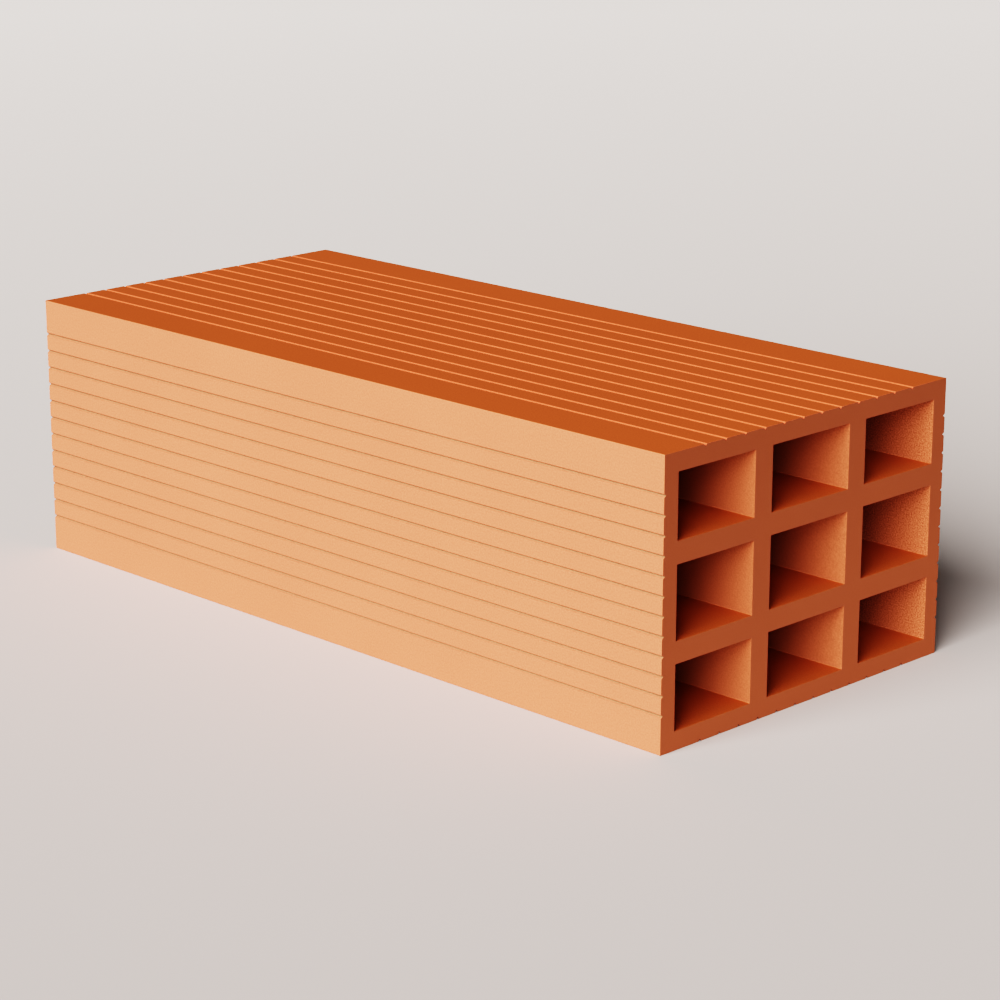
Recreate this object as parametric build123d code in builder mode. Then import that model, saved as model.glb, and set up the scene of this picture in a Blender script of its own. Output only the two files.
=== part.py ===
from build123d import *
import os

# Hollow clay brick, pushed through a die and cut to length, then fired as one piece.
# X runs along the cells, Y across the brick and Z up. The origin is at the middle of the
# bottom bed face. All sizes are in millimetres.

# Overall size of the fired brick
brick_length = 290.0
brick_width = 130.0
brick_height = 90.0

# Outer walls: the two long sides, and the top and bottom beds
side_wall = 6.0
bed_wall = 6.0

# Webs between the cells, evenly spread over the width and the height
cell_columns = 3
cell_rows = 3
upright_web = 7.8
level_web = 7.0

# Combed key grooves that run the whole length of the four long faces
groove_count = 12
groove_width = 1.2
groove_depth = 0.8
side_groove_margin = 12.0
bed_groove_margin = 17.3

# Slight rounding left by the die
arris_radius = 0.25
cell_corner_radius = 0.25

# Sizes that follow from those above
core_width = brick_width - 2 * side_wall
core_height = brick_height - 2 * bed_wall
upright_web_pitch = brick_width / cell_columns
level_web_pitch = brick_height / cell_rows
side_groove_pitch = (brick_height - 2 * side_groove_margin) / (groove_count - 1)
bed_groove_pitch = (brick_width - 2 * bed_groove_margin) / (groove_count - 1)

# The section stands across the brick at mid-length, centred on its height.
section_plane = Plane(origin=(0, 0, brick_height / 2), x_dir=(0, 1, 0), z_dir=(1, 0, 0))

os.makedirs("parts", exist_ok=True)

with BuildPart() as brick:
    with BuildSketch(section_plane) as section:
        # Outer skin with its four long arrises
        Rectangle(brick_width, brick_height)
        fillet(section.vertices(), arris_radius)

        # The core is hollowed out, and the webs that cross it leave the cells.
        Rectangle(core_width, core_height, mode=Mode.SUBTRACT)
        with GridLocations(upright_web_pitch, brick_height, cell_columns - 1, 1):
            Rectangle(upright_web, core_height)
        with GridLocations(brick_width, level_web_pitch, 1, cell_rows - 1):
            Rectangle(core_width, level_web)
        fillet(section.face().inner_wires().vertices(), cell_corner_radius)

        # Each groove is the half of a diamond that lies inside the face it is centred on.
        groove_half = groove_width / 2
        with GridLocations(brick_width, side_groove_pitch, 2, groove_count):
            Polygon(
                (-groove_depth, 0),
                (0, -groove_half),
                (groove_depth, 0),
                (0, groove_half),
                mode=Mode.SUBTRACT,
            )
        with GridLocations(bed_groove_pitch, brick_height, groove_count, 2):
            Polygon(
                (0, -groove_depth),
                (groove_half, 0),
                (0, groove_depth),
                (-groove_half, 0),
                mode=Mode.SUBTRACT,
            )

    extrude(amount=brick_length / 2, both=True)

brick.part.label = "brick"
export_step(brick.part, "parts/brick.step")
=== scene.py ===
import math

import bmesh
import bpy
from bpy.props import FloatProperty, FloatVectorProperty, IntProperty, PointerProperty
from mathutils import Matrix, Vector


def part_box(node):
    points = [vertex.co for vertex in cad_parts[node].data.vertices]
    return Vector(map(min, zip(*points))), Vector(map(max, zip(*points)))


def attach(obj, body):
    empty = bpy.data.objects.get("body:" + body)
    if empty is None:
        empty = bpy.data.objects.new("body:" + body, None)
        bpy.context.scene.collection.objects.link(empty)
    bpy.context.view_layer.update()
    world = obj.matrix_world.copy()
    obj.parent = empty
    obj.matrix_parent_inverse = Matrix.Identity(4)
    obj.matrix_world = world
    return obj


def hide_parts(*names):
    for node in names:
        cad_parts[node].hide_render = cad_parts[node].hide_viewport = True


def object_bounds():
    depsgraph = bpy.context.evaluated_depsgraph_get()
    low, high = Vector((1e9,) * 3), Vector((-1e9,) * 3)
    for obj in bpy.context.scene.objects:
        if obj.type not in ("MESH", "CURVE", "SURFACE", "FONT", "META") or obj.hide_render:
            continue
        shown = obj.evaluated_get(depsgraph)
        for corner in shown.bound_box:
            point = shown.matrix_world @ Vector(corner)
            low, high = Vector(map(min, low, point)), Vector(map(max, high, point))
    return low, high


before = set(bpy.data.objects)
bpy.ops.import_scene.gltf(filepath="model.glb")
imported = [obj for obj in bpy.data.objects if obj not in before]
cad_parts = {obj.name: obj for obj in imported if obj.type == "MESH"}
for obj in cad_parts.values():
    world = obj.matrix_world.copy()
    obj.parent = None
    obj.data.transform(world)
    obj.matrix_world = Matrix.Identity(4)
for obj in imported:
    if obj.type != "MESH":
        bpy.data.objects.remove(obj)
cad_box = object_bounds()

bl_info = {
    "name": "Hollow Clay Brick",
    "version": (1, 0, 0),
    "blender": (4, 5, 0),
    "location": "3D View > Sidebar > Clay Brick",
    "description": "Builds a hollow fired clay brick and a plain studio stage for it",
    "category": "Add Mesh",
}

Y_AXIS = Vector((0, 1, 0))
Z_AXIS = Vector((0, 0, 1))
AWAY_FROM_CAMERA = Vector((-1, 1, 0))
WHITE = Vector((1.0, 1.0, 1.0))

# Finishes of the brick, in the order of its material slots
FINISHES = (
    "side", "side_groove", "bed", "bed_groove", "end", "cell_side", "cell_bed", "cell_outer"
)
SIDE, SIDE_GROOVE, BED, BED_GROOVE, END, CELL_SIDE, CELL_BED, CELL_OUTER = range(len(FINISHES))

# How grey strong sand grains are, and how far grain noise goes to either side of its middle
SAND_GREY = 0.07
GRAIN_SPREAD = 0.2

# Cosine above which two directions count as the same, and distances that count as none, in metres
ALIGNED = 0.999
ON_FACE = 1e-5
ON_CUT = 1e-7

# Angles between faces: below the first they lie flat, and above the second their edge is sharp
FLAT_ANGLE = math.radians(0.5)
SHARP_ANGLE = math.radians(40)

# Least part of a normal along X on a cut end, and most along Y on a bed or level cell wall
END_FACING = 0.7
BED_FACING = 0.3


def length(name, description, millimetres):
    """A length property whose default is given in millimetres."""
    return FloatProperty(
        name=name,
        description=description,
        default=millimetres / 1000,
        min=0.0,
        precision=5,
        subtype="DISTANCE",
        unit="LENGTH",
    )


def colour(name, description, red, green, blue):
    """A colour property, in scene linear values."""
    return FloatVectorProperty(
        name=name,
        description=description,
        default=(red, green, blue),
        min=0.0,
        soft_max=1.0,
        size=3,
        subtype="COLOR",
    )


def share(name, description, default):
    """A plain number from nought to one."""
    return FloatProperty(
        name=name, description=description, default=default, min=0.0, max=1.0, subtype="FACTOR"
    )


def angle(name, description, degrees):
    """An angle property whose default is given in degrees."""
    return FloatProperty(
        name=name,
        description=description,
        default=math.radians(degrees),
        subtype="ANGLE",
        unit="ROTATION",
    )


def power(name, description, watts):
    """The power of a light, in watts."""
    return FloatProperty(name=name, description=description, default=watts, min=0.0, unit="POWER")


def spot(name, description, place):
    """A place in the scene, in metres."""
    return FloatVectorProperty(
        name=name,
        description=description,
        default=place,
        size=3,
        subtype="TRANSLATION",
        unit="LENGTH",
    )


def camera_size(name, description, millimetres):
    """A size in the camera, in millimetres."""
    return FloatProperty(
        name=name, description=description, default=millimetres, min=1.0, unit="CAMERA"
    )


class BrickSizes(bpy.types.PropertyGroup):
    """Sizes of the section. The length, width and height of the brick come from the frame."""

    side_wall: length("Side wall", "Thickness of the two long outer walls", 6.0)
    bed_wall: length("Bed wall", "Thickness of the top and bottom outer walls", 6.0)
    cell_columns: IntProperty(
        name="Cell columns", description="Cells across the width", default=3, min=1
    )
    cell_rows: IntProperty(
        name="Cell rows", description="Cells up the height", default=3, min=1
    )
    upright_web: length("Upright web", "Thickness of the webs between the columns", 7.8)
    level_web: length("Level web", "Thickness of the webs between the rows", 7.0)
    groove_count: IntProperty(
        name="Grooves", description="Key grooves on each long face", default=12, min=2
    )
    groove_width: length("Groove width", "Width of a key groove at the face", 1.2)
    groove_depth: length("Groove depth", "Depth of a key groove", 0.8)
    side_margin: length("Side margin", "From an arris to the first groove on a side", 12.0)
    bed_margin: length("Bed margin", "From an arris to the first groove on a bed", 17.3)
    arris_radius: length("Arris radius", "Rounding along the arrises and cell corners", 0.25)
    cut_edge: length("Cut edge", "Slight rounding where the wire cut, and along the grooves", 0.08)


class ClayLook(bpy.types.PropertyGroup):
    """Colour and grain of the fired clay, for each kind of face. The colours were matched under the
    scene's lights, so besides the clay's own tone they carry painted light and shade.
    """

    roughness: share("Roughness", "How matt the clay is", 0.85)
    gloss: share("Gloss", "Strength of the clay's own reflection", 0.3)
    mottle: share("Mottle", "How far soft patches differ in tone", 0.02)
    patch_size: length("Patch size", "Size of the soft patches", 35.0)
    grain_size: length("Grain size", "Size of the sandy grain", 0.5)
    calm: share("Calm", "How far the grain fades inside the cells", 0.75)
    outer_calm: share("Outer calm", "The same inside the long outer walls", 0.4)
    calm_reach: length("Calm reach", "Depth from a cut end at which it has faded", 18.0)
    # Painted light and shade: the cut ends are painted lighter at the foot and darker towards the
    # top
    end_painted_shade: share("End fade", "How far the cut ends grow darker towards the top", 0.0949)

    # Painted sheen: the long sides and their grooves get paler, less red clay than the beds,
    # standing for the main light's sheen on them
    side_clay: colour("Side clay", "Clay of the long sides", 0.489, 0.137, 0.0668)
    side_groove_clay: colour("Side groove clay", "Clay in their grooves", 0.489, 0.137, 0.0668)
    # Painted shade deep in the grooves of the long sides
    side_groove_shade: colour("Side groove shade", "Tint at their bottom", 0.4, 1.0, 1.0)
    bed_clay: colour("Bed clay", "Clay of the beds", 0.429, 0.0893, 0.02)
    # Painted highlight: the clay in the bed grooves is far paler than the bed clay, standing for
    # groove walls that face the main light
    bed_groove_clay: colour("Bed groove clay", "Clay in their grooves", 0.68, 0.114, 0.0475)
    # Painted shade deep in the grooves of the beds
    bed_groove_shade: colour("Bed groove shade", "Tint at their bottom", 0.06, 0.15, 0.25)
    # Painted shade in the grooves of the lower bed, which lies on the floor
    under_painted_shade: colour("Under shade", "Tint of the grooves in the lower bed", 0.22, 0.3, 0.3)
    # The cut ends' clay is darker than that of the long sides: partly the cut face's own tone,
    # partly painted shade
    end_clay: colour("End clay", "Clay of the cut ends", 0.332, 0.0907, 0.0387)
    # Painted sheen as on the long sides: the sides of the webs and the inside of the outer walls get
    # paler, less red clay than the level cell walls
    cell_side_clay: colour("Cell side clay", "Clay on the sides of the webs", 0.4395, 0.1135, 0.048)
    cell_bed_clay: colour("Cell bed clay", "Clay of the level cell walls", 0.405, 0.082, 0.0171)
    cell_outer_clay: colour("Cell outer clay", "Clay inside the outer walls", 0.442, 0.1155, 0.0495)

    # Depths in a groove over which the painted shade comes in
    painted_shade_start: length("Shade start", "Depth in a groove at which the tint begins", 0.42)
    painted_shade_full: length("Shade full", "Depth in a groove at which the tint is full", 0.8)

    side_fleck: share("Side fleck", "How far the sand grains differ in tone on the long sides", 0.13)
    side_groove_fleck: share("Side groove fleck", "The same in their grooves", 0.13)
    bed_fleck: share("Bed fleck", "The same on the beds", 0.1)
    bed_groove_fleck: share("Bed groove fleck", "The same in their grooves", 0.13)
    end_fleck: share("End fleck", "The same on the cut ends", 0.03)
    cell_side_fleck: share("Cell side fleck", "The same on the sides of the webs", 0.18)
    cell_bed_fleck: share("Cell bed fleck", "The same on the level cell walls", 0.12)
    cell_outer_fleck: share("Cell outer fleck", "The same inside the long outer walls", 0.42)

    side_grain: length("Side grain", "Depth of the sandy grain on the long sides", 0.03)
    side_groove_grain: length("Side groove grain", "The same in their grooves", 0.03)
    bed_grain: length("Bed grain", "The same on the beds", 0.02)
    bed_groove_grain: length("Bed groove grain", "The same in their grooves", 0.03)
    end_grain: length("End grain", "The same on the cut ends", 0.01)
    cell_side_grain: length("Cell side grain", "The same on the sides of the webs", 0.025)
    cell_bed_grain: length("Cell bed grain", "The same on the level cell walls", 0.04)
    cell_outer_grain: length("Cell outer grain", "The same inside the long outer walls", 0.03)


class StudioStage(bpy.types.PropertyGroup):
    """Floor, light and camera."""

    # Painted light: the floor runs from the near colour to a much paler far colour, standing for
    # brighter light far behind
    floor_near: colour("Near floor", "Colour of the floor in front", 0.556, 0.489, 0.458)
    floor_far_painted_light: colour("Far floor", "Colour of the floor far behind", 0.995, 0.8935, 0.83)
    floor_before: length("Floor before", "From the brick to where the near colour is full", 400.0)
    floor_behind: length("Floor behind", "From the brick to where the far colour is full", 1700.0)
    floor_roughness: share("Floor roughness", "How matt the floor is", 0.9)
    floor_width: length("Floor width", "Width of the floor", 40000.0)
    light_distance: length("Light distance", "From the brick to each light", 25000.0)
    key_power: power("Key power", "Power of the main light", 18420.0)
    key_side: angle("Key side", "Turn of the main light from the front towards the right end", 12.0)
    key_height: angle("Key height", "Height of the main light above the floor", 26.5)
    key_width: length("Key width", "Width of the main light", 28300.0)
    key_rise: length("Key rise", "Height of the main light's own panel", 23700.0)
    end_power: power("End power", "Power of the weak light on the right end", 430.0)
    end_side: angle("End side", "Turn of that light from the front towards the right end", 60.0)
    end_height: angle("End height", "Height of that light above the floor", 4.0)
    end_width: length("End width", "Width of that light", 23560.0)
    end_rise: length("End rise", "Height of that light's own panel", 4040.0)
    camera_place: spot("Camera place", "Where the camera stands", (0.66998, -0.65077, 0.30242))
    camera_aim: spot("Camera aim", "The point in the middle of the picture", (0.01397, 0.0, 0.03701))
    lens: camera_size("Lens", "Focal length", 104.67)
    sensor: camera_size("Sensor", "Width of the sensor", 36.0)


class Wire:
    """An output socket of a shader node. Arithmetic on it adds Math nodes."""

    def __init__(self, shader, socket):
        self.shader = shader
        self.socket = socket

    def math(self, operation, first, second):
        return self.shader.node("ShaderNodeMath", {"operation": operation}, {0: first, 1: second})

    def __add__(self, other):
        return self.math("ADD", self, other)

    def __radd__(self, other):
        return self.math("ADD", other, self)

    def __sub__(self, other):
        return self.math("SUBTRACT", self, other)

    def __rsub__(self, other):
        return self.math("SUBTRACT", other, self)

    def __mul__(self, other):
        return self.math("MULTIPLY", self, other)

    def __rmul__(self, other):
        return self.math("MULTIPLY", other, self)

    def __truediv__(self, other):
        return self.math("DIVIDE", self, other)

    def __rtruediv__(self, other):
        return self.math("DIVIDE", other, self)

    def __abs__(self):
        return self.shader.node("ShaderNodeMath", {"operation": "ABSOLUTE"}, {0: self})


class Shader:
    """A material whose nodes are added one call at a time."""

    def __init__(self, name):
        self.material = bpy.data.materials.new(name)
        self.material.use_nodes = True
        self.tree = self.material.node_tree
        self.surface = self.tree.nodes["Principled BSDF"]

    def feed(self, socket, value):
        """Links a wire to a socket, or sets the socket's own value."""
        if isinstance(value, Wire):
            self.tree.links.new(value.socket, socket)
        else:
            socket.default_value = value

    def node(self, kind, settings, sockets, output=0):
        """Adds a node, applies its settings, then its socket values and links."""
        made = self.tree.nodes.new(kind)
        for name, value in settings.items():
            setattr(made, name, value)
        for name, value in sockets.items():
            self.feed(made.inputs[name], value)
        return Wire(self, made.outputs[output])

    def place(self):
        """Position on the piece, in metres."""
        return self.node("ShaderNodeTexCoord", {}, {}, "Object")

    def along(self, place, direction):
        """How far a position lies along a direction."""
        return self.node(
            "ShaderNodeVectorMath",
            {"operation": "DOT_PRODUCT"},
            {0: place, 1: direction.normalized()},
            "Value",
        )

    def part(self, place, axis):
        """One coordinate of a position."""
        return self.node("ShaderNodeSeparateXYZ", {}, {"Vector": place}, axis)

    def noise(self, place, size, detail=2.0):
        """Even noise from nought to one, whose lumps are about the given size in metres."""
        return self.node(
            "ShaderNodeTexNoise",
            {"noise_dimensions": "3D", "normalize": True},
            {"Vector": place, "Scale": 1.0 / size, "Detail": detail},
            "Fac",
        )

    def ramp(self, value, low, high):
        """The value spread so that low becomes nought and high becomes one, held there beyond."""
        return self.node(
            "ShaderNodeMapRange",
            {"interpolation_type": "LINEAR", "clamp": True},
            {"Value": value, "From Min": low, "From Max": high},
        )

    def blend(self, factor, first, second):
        """A colour between two others."""
        return self.node(
            "ShaderNodeMix",
            {"data_type": "RGBA", "blend_type": "MIX"},
            {0: factor, 6: first, 7: second},
            2,
        )

    def tint(self, colour, by):
        """A colour multiplied by another."""
        return self.node("ShaderNodeVectorMath", {"operation": "MULTIPLY"}, {0: colour, 1: by})

    def bump(self, height, depth):
        """A normal bent by a height that goes from nought to one over the given depth in metres."""
        return self.node(
            "ShaderNodeBump", {}, {"Strength": 1.0, "Distance": depth, "Height": height}
        )


def opaque(rgb):
    """A colour with full alpha, as the sockets take it."""
    return (*rgb, 1.0)


def sand_tones(body, fleck):
    """The darkest and palest sand grains in a body of clay. Strong ones are less red."""
    grey = WHITE * (SAND_GREY * fleck * fleck)
    dark = [max(part, 0.0) for part in body * (1.0 - fleck) - grey]
    pale = body * (1.0 + fleck) + grey
    return opaque(dark), opaque(pale)


def calmed(shader, clay, finish, place, grain, high):
    """Grain that fades from the cut ends into the cells."""
    inside = shader.ramp(high.x - abs(shader.part(place, "X")), 0.0, clay.calm_reach)
    calm = clay.outer_calm if finish == "cell_outer" else clay.calm
    return (grain - 0.5) * (1.0 - inside * calm) + 0.5


def painted_end_shade_tint(shader, clay, place, low, high):
    """Painted light and shade on the cut ends: lighter at the foot and darker towards the top."""
    foot = opaque(WHITE * (1.0 + clay.end_painted_shade))
    head = opaque(WHITE * (1.0 - clay.end_painted_shade))
    return shader.blend(shader.ramp(shader.part(place, "Z"), low.z, high.z), foot, head)


def painted_groove_shade(shader, clay, finish, place, low, high):
    """Painted shade in a groove, which deepens towards its bottom and is darker still in the lower
    bed.
    """
    plain = opaque(WHITE)
    axis = 1 if finish == "side_groove" else 2
    half = (high[axis] - low[axis]) / 2
    from_middle = shader.part(place, "XYZ"[axis]) - (low[axis] + half)
    deep = shader.ramp(half - abs(from_middle), clay.painted_shade_start, clay.painted_shade_full)
    tint = shader.blend(deep, plain, opaque(getattr(clay, finish + "_shade")))
    # Painted shade: the grooves of the lower bed are darker still
    if finish == "bed_groove":
        upper = shader.ramp(from_middle, -half / 2, half / 2)
        tint = shader.tint(tint, shader.blend(upper, opaque(clay.under_painted_shade), plain))
    return tint


def clay_material(clay, finish, low, high):
    """Unglazed fired clay: an even body with soft patches and a sandy grain."""
    fleck = getattr(clay, finish + "_fleck")
    shader = Shader("clay_" + finish)
    place = shader.place()
    patches = shader.noise(place, clay.patch_size, detail=3.0)
    grain = shader.noise(place, clay.grain_size)
    if finish.startswith("cell"):
        grain = calmed(shader, clay, finish, place, grain, high)

    dark, pale = sand_tones(Vector(getattr(clay, finish + "_clay")), fleck)
    tone = (grain - 0.5) + (patches - 0.5) * (clay.mottle / fleck)
    skin = shader.blend(shader.ramp(tone, -GRAIN_SPREAD, GRAIN_SPREAD), dark, pale)
    if finish == "end":
        # Painted light at the foot of the cut ends and painted shade towards their top
        skin = shader.tint(skin, painted_end_shade_tint(shader, clay, place, low, high))
    elif finish.endswith("groove"):
        # Painted shade deep in the grooves
        skin = shader.tint(skin, painted_groove_shade(shader, clay, finish, place, low, high))
    relief = shader.bump(grain, getattr(clay, finish + "_grain"))

    shader.feed(shader.surface.inputs["Base Color"], skin)
    shader.feed(shader.surface.inputs["Roughness"], clay.roughness)
    shader.feed(shader.surface.inputs["Specular IOR Level"], clay.gloss)
    shader.feed(shader.surface.inputs["Normal"], relief)
    return shader.material


def cell_lines(extent, wall, web, cells):
    """Places of the cell sides along one direction of the section, from its middle."""
    lines = [wall - extent / 2]
    for number in range(1, cells):
        centre = extent * (number / cells - 0.5)
        lines += [centre - web / 2, centre + web / 2]
    return lines + [extent / 2 - wall]


def groove_lines(extent, margin, count):
    """Places of the groove middles across one long face, from its middle."""
    pitch = (extent - 2 * margin) / (count - 1)
    return [margin - extent / 2 + number * pitch for number in range(count)]


def cut_across(mesh, faces, direction, place):
    """Cuts the given faces at a place along a direction and returns the points of the cut."""
    edges = dict.fromkeys(edge for face in faces for edge in face.edges)
    points = dict.fromkeys(point for face in faces for point in face.verts)
    cut = bmesh.ops.bisect_plane(
        mesh,
        geom=[*points, *edges, *faces],
        dist=ON_CUT,
        plane_co=direction * place,
        plane_no=direction,
    )
    return [part for part in cut["geom_cut"] if isinstance(part, bmesh.types.BMVert)]


def long_face(mesh, outward, reach):
    """The faces of one long side or bed, apart from the grooves in it."""
    return [
        face
        for face in mesh.faces
        if face.normal.dot(outward) > ALIGNED
        and face.calc_center_median().dot(outward) > reach - ON_FACE
    ]


def runs_along(edge):
    """Whether an edge runs along the length of the brick."""
    return abs((edge.verts[1].co - edge.verts[0].co).normalized().x) > ALIGNED


def round_edges(mesh, edges, radius, segments):
    """Rounds edges off and shades the new faces smoothly."""
    made = bmesh.ops.bevel(
        mesh,
        geom=edges,
        offset=radius,
        offset_type="OFFSET",
        segments=segments,
        profile=0.5,
        affect="EDGES",
        material=-1,
        clamp_overlap=False,
    )
    for face in made["faces"]:
        face.smooth = True


def set_finishes(mesh, sizes, size):
    """Gives each face the finish of the side, bed, end or cell wall that it belongs to.

    Groove faces are sunk a little into the brick, and lie well away from the arrises.
    """
    sunk = sizes.cut_edge / 20
    past_arris = min(sizes.side_margin, sizes.bed_margin) / 2
    outer_wall = sizes.side_wall + sizes.arris_radius * 2
    for face in mesh.faces:
        centre = face.calc_center_median()
        from_side = size.y / 2 - abs(centre.y)
        from_bed = size.z / 2 - abs(centre.z)
        outside = from_side < sizes.side_wall / 2 or from_bed < sizes.bed_wall / 2
        if abs(face.normal.x) > END_FACING:
            face.material_index = END
        elif outside and min(from_side, from_bed) > sunk and max(from_side, from_bed) > past_arris:
            face.material_index = SIDE_GROOVE if from_side < from_bed else BED_GROOVE
        elif abs(face.normal.y) < BED_FACING:
            face.material_index = BED if outside else CELL_BED
        elif outside:
            face.material_index = SIDE
        else:
            face.material_index = CELL_OUTER if from_side < outer_wall else CELL_SIDE


def brick_mesh(sizes, low, high):
    """The brick as one closed skin: a section with cells, pushed out to its length."""
    size = high - low
    mesh = bmesh.new()

    # A flat sheet stands across the left end, and the cells are taken out of it.
    bmesh.ops.create_grid(mesh, x_segments=1, y_segments=1, size=0.5)
    stand = Matrix(((0, 0, 1, -size.x / 2), (size.y, 0, 0, 0), (0, size.z, 0, 0), (0, 0, 0, 1)))
    bmesh.ops.transform(mesh, matrix=stand, verts=mesh.verts[:])
    columns = cell_lines(size.y, sizes.side_wall, sizes.upright_web, sizes.cell_columns)
    rows = cell_lines(size.z, sizes.bed_wall, sizes.level_web, sizes.cell_rows)
    for place in columns:
        cut_across(mesh, mesh.faces[:], Y_AXIS, place)
    for place in rows:
        cut_across(mesh, mesh.faces[:], Z_AXIS, place)
    cells = []
    for face in mesh.faces:
        centre = face.calc_center_median()
        in_column = sum(centre.y > place for place in columns) % 2
        in_row = sum(centre.z > place for place in rows) % 2
        if in_column and in_row:
            cells.append(face)
    bmesh.ops.delete(mesh, geom=cells, context="FACES")

    # The die pushes the section out to the length of the brick.
    pushed = bmesh.ops.extrude_face_region(mesh, geom=mesh.faces[:])
    far_end = [part for part in pushed["geom"] if isinstance(part, bmesh.types.BMVert)]
    bmesh.ops.translate(mesh, vec=(size.x, 0, 0), verts=far_end)
    bmesh.ops.recalc_face_normals(mesh, faces=mesh.faces[:])

    # Lines left on the flat long faces go, and the arrises and cell corners are rounded.
    along = [edge for edge in mesh.edges if runs_along(edge)]
    flat = [edge for edge in along if edge.calc_face_angle() < FLAT_ANGLE]
    corners = [edge for edge in along if edge.calc_face_angle() >= FLAT_ANGLE]
    round_edges(mesh, corners, sizes.arris_radius, segments=3)
    bmesh.ops.dissolve_edges(
        mesh, edges=[edge for edge in flat if edge.is_valid], use_verts=False
    )

    # Key grooves: each is cut at both lips and in the middle, and the middle goes in.
    for outward, across, margin in (
        (Z_AXIS, Y_AXIS, sizes.bed_margin),
        (-Z_AXIS, Y_AXIS, sizes.bed_margin),
        (Y_AXIS, Z_AXIS, sizes.side_margin),
        (-Y_AXIS, Z_AXIS, sizes.side_margin),
    ):
        reach = abs(size.dot(outward)) / 2
        for middle in groove_lines(abs(size.dot(across)), margin, sizes.groove_count):
            for lip in (middle - sizes.groove_width / 2, middle + sizes.groove_width / 2):
                cut_across(mesh, long_face(mesh, outward, reach), across, lip)
            bottom = cut_across(mesh, long_face(mesh, outward, reach), across, middle)
            bmesh.ops.translate(mesh, vec=-outward * sizes.groove_depth, verts=bottom)
    mesh.normal_update()

    # The wire-cut edges and the groove lips are slightly soft.
    sharp = [edge for edge in mesh.edges if edge.calc_face_angle() > SHARP_ANGLE]
    round_edges(mesh, sharp, sizes.cut_edge, segments=2)
    bmesh.ops.recalc_face_normals(mesh, faces=mesh.faces[:])
    set_finishes(mesh, sizes, size)
    bmesh.ops.translate(mesh, vec=(low + high) / 2, verts=mesh.verts[:])
    if not all(edge.is_manifold for edge in mesh.edges):
        raise RuntimeError("the skin of the brick isn't closed")
    return mesh


class BRICK_OT_make_brick(bpy.types.Operator):
    """Build the brick with its cells, key grooves and clay finish"""

    bl_idname = "brick.make_brick"
    bl_label = "Make Brick"

    def execute(self, context):
        scene = context.scene
        low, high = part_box("brick")
        mesh = brick_mesh(scene.brick_sizes, low, high)
        data = bpy.data.meshes.new("clay_brick")
        mesh.to_mesh(data)
        mesh.free()
        for finish in FINISHES:
            data.materials.append(clay_material(scene.clay_look, finish, low, high))
        brick = bpy.data.objects.new("clay_brick", data)
        scene.collection.objects.link(brick)
        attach(brick, "root")
        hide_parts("brick")
        return {"FINISHED"}


def floor_material(stage):
    """Plain matt floor with painted light: it grows paler away from the camera, standing for
    brighter light on the floor far behind.
    """
    shader = Shader("studio_floor")
    distance = shader.along(shader.place(), AWAY_FROM_CAMERA)
    # Painted light grows towards the back of the floor
    away = shader.ramp(distance, -stage.floor_before, stage.floor_behind)
    tone = shader.blend(away, opaque(stage.floor_near), opaque(stage.floor_far_painted_light))
    shader.feed(shader.surface.inputs["Base Color"], tone)
    shader.feed(shader.surface.inputs["Roughness"], stage.floor_roughness)
    shader.feed(shader.surface.inputs["Specular IOR Level"], 0.0)
    return shader.material


def towards(side, height):
    """The direction turned by one angle from the front to the right end, and raised by another."""
    level = math.cos(height)
    return Vector((math.sin(side) * level, -math.cos(side) * level, math.sin(height)))


def facing(place, aim):
    """A place and a turn in which the object's own -Z axis points at aim."""
    return Matrix.LocRotScale(place, (aim - place).to_track_quat("-Z", "Y"), None)


def soft_light(scene, name, place, width, rise, watts):
    """A flat oval panel of light that faces the middle of the brick and isn't seen itself."""
    panel = bpy.data.lights.new(name, "AREA")
    panel.shape = "ELLIPSE"
    panel.size = width
    panel.size_y = rise
    panel.energy = watts
    light = bpy.data.objects.new(name, panel)
    light.visible_camera = False
    low, high = cad_box
    light.matrix_world = facing(place, (low + high) / 2)
    scene.collection.objects.link(light)


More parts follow.
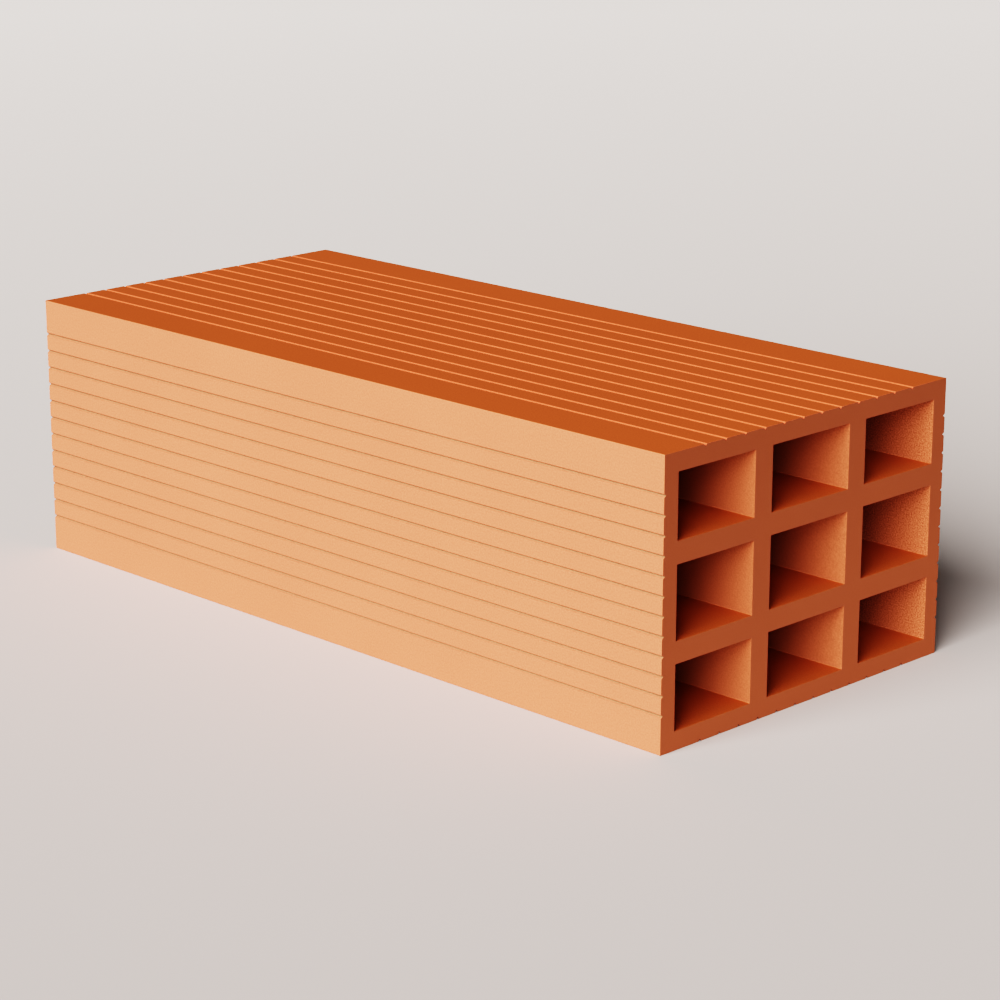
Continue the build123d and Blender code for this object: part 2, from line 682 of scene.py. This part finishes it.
class BRICK_OT_set_stage(bpy.types.Operator):
    """Set up the floor, the two soft lights and the camera"""

    bl_idname = "brick.set_stage"
    bl_label = "Set Stage"

    def execute(self, context):
        scene = context.scene
        stage = scene.studio_stage

        ground = bmesh.new()
        bmesh.ops.create_grid(ground, x_segments=1, y_segments=1, size=stage.floor_width / 2)
        ground_data = bpy.data.meshes.new("studio_floor")
        ground.to_mesh(ground_data)
        ground.free()
        ground_data.materials.append(floor_material(stage))
        floor = bpy.data.objects.new("studio_floor", ground_data)
        scene.collection.objects.link(floor)

        soft_light(
            scene, "key_light", towards(stage.key_side, stage.key_height) * stage.light_distance,
            stage.key_width, stage.key_rise, stage.key_power,
        )
        soft_light(
            scene, "end_light", towards(stage.end_side, stage.end_height) * stage.light_distance,
            stage.end_width, stage.end_rise, stage.end_power,
        )
        world = bpy.data.worlds.new("studio_air")
        world.use_nodes = True
        world.node_tree.nodes["Background"].inputs["Strength"].default_value = 0.0
        scene.world = world

        lens = bpy.data.cameras.new("studio_camera")
        lens.lens = stage.lens
        lens.sensor_width = stage.sensor
        camera = bpy.data.objects.new("studio_camera", lens)
        scene.collection.objects.link(camera)
        camera.matrix_world = facing(Vector(stage.camera_place), Vector(stage.camera_aim))
        scene.camera = camera

        scene.view_settings.view_transform = "Filmic"
        scene.view_settings.look = "Very High Contrast"
        return {"FINISHED"}


class BRICK_PT_studio(bpy.types.Panel):
    """Buttons and sizes for the brick"""

    bl_idname = "BRICK_PT_studio"
    bl_label = "Clay Brick"
    bl_space_type = "VIEW_3D"
    bl_region_type = "UI"
    bl_category = "Clay Brick"

    def draw(self, context):
        scene = context.scene
        for operator, settings in (
            (BRICK_OT_make_brick, (scene.brick_sizes, scene.clay_look)),
            (BRICK_OT_set_stage, (scene.studio_stage,)),
        ):
            box = self.layout.box()
            box.operator(operator.bl_idname)
            for group in settings:
                for name in type(group).__annotations__:
                    box.prop(group, name)


CLASSES = (
    BrickSizes,
    ClayLook,
    StudioStage,
    BRICK_OT_make_brick,
    BRICK_OT_set_stage,
    BRICK_PT_studio,
)


def register():
    for item in CLASSES:
        bpy.utils.register_class(item)
    bpy.types.Scene.brick_sizes = PointerProperty(type=BrickSizes)
    bpy.types.Scene.clay_look = PointerProperty(type=ClayLook)
    bpy.types.Scene.studio_stage = PointerProperty(type=StudioStage)


def unregister():
    del bpy.types.Scene.studio_stage
    del bpy.types.Scene.clay_look
    del bpy.types.Scene.brick_sizes
    for item in reversed(CLASSES):
        bpy.utils.unregister_class(item)


def main():
    register()
    bpy.ops.brick.make_brick()
    bpy.ops.brick.set_stage()


if __name__ == "__main__":
    main()
